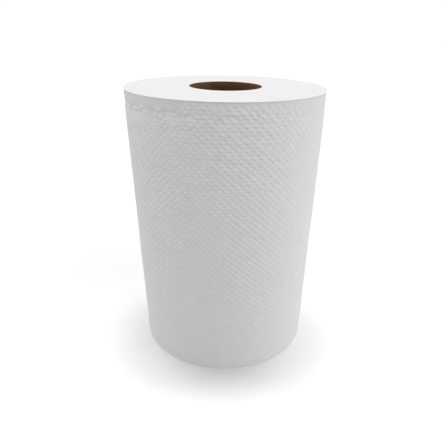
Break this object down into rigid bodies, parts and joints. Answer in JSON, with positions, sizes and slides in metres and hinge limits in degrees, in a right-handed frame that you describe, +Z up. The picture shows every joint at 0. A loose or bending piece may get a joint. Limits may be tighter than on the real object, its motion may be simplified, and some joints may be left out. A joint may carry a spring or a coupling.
{
  "type": "paper towel roll",
  "caption": "White embossed paper towel roll standing on end, wound on a brown paperboard core with an open bore for a holder's spindle.",
  "frame": {"origin": "on the core's axis, at the lower end that the roll stands on", "axes": "+Z up along the roll's axis; the free edge of the sheet is at the back, 118 degrees anticlockwise from +X"},
  "size_m": [0.1397, 0.1396, 0.2],
  "materials": {
    "core": "matte",
    "paper_roll": "matte"
  },
  "bodies": {
    "root": {"core": "core", "paper_roll": "paper_roll"}
  },
  "joints": []
}
